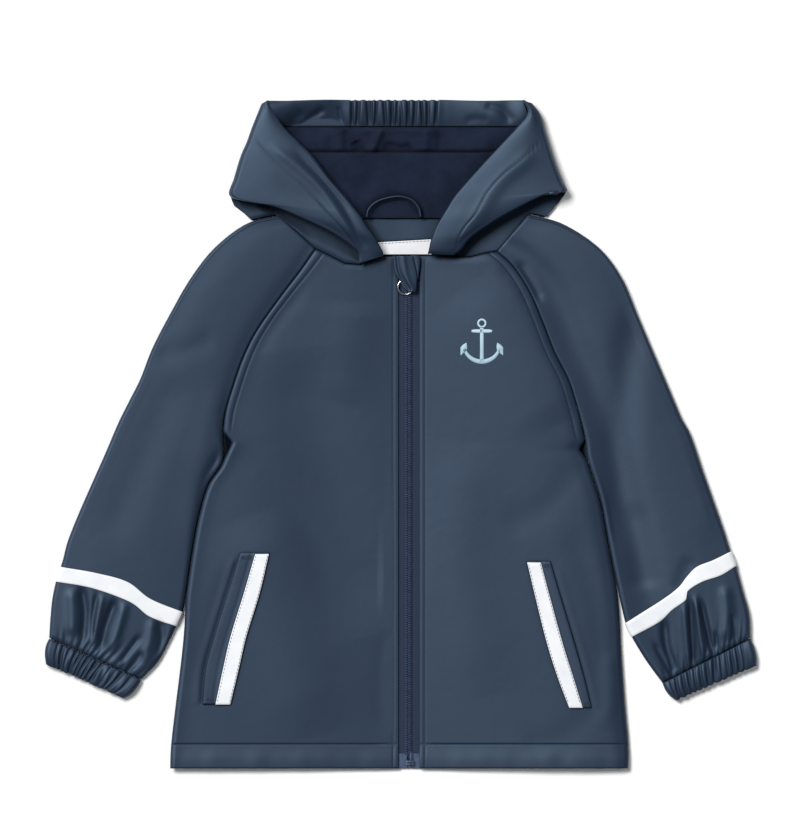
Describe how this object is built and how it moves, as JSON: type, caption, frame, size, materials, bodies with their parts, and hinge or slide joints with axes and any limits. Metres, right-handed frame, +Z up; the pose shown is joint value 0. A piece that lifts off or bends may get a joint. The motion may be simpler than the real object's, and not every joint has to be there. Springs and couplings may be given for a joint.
{
  "type": "hooded raincoat",
  "caption": "Child's hooded raincoat of coated cloth laid flat, front up: raglan sleeves, gathered cuffs, slanted pockets, reflective tape, zip front and a fleece-lined hood opened out.",
  "frame": {"origin": "on the zip's line at half the coat's length with the hood, on the surface that the coat lies on", "axes": "+X to the wearer's left, +Y along the zip towards the hood, +Z up out of the coat's front"},
  "size_m": [0.655, 0.6156, 0.0152],
  "materials": {
    "coated_cloth": "navy polyurethane-coated cloth with a soft sheen",
    "fleece": "matte dark navy fleece",
    "reflective": "pale grey retroreflective tape",
    "zip_cloth": "woven navy zip tape",
    "zip_teeth": "dyed navy plastic",
    "white_label": "white woven satin",
    "bright_metal": "bright nickel plate"
  },
  "bodies": {
    "root": {"back": "coated_cloth", "cuff_left": "coated_cloth", "cuff_right": "coated_cloth", "front_left": "coated_cloth", "front_right": "coated_cloth", "hanger_loop": "coated_cloth", "hood_casing": "coated_cloth", "hood_centre": "coated_cloth", "hood_lining_back": "fleece", "hood_lining_crown": "fleece", "hood_neck_left": "coated_cloth", "hood_neck_right": "coated_cloth", "hood_side_left": "coated_cloth", "hood_side_right": "coated_cloth", "hood_under_left": "coated_cloth", "hood_under_right": "coated_cloth", "neck_facing": "coated_cloth", "neck_label": "white_label", "pocket_tape_left": "reflective", "pocket_tape_right": "reflective", "pocket_welt_left": "coated_cloth", "pocket_welt_right": "coated_cloth", "sleeve_left": "coated_cloth", "sleeve_right": "coated_cloth", "sleeve_tape_left": "reflective", "sleeve_tape_right": "reflective", "zip_box": "zip_teeth", "zip_pull": "coated_cloth", "zip_ring": "bright_metal", "zip_slider": "bright_metal", "zip_tape_left": "zip_cloth", "zip_tape_right": "zip_cloth", "zip_teeth_left": "zip_teeth", "zip_teeth_right": "zip_teeth"}
  },
  "joints": []
}
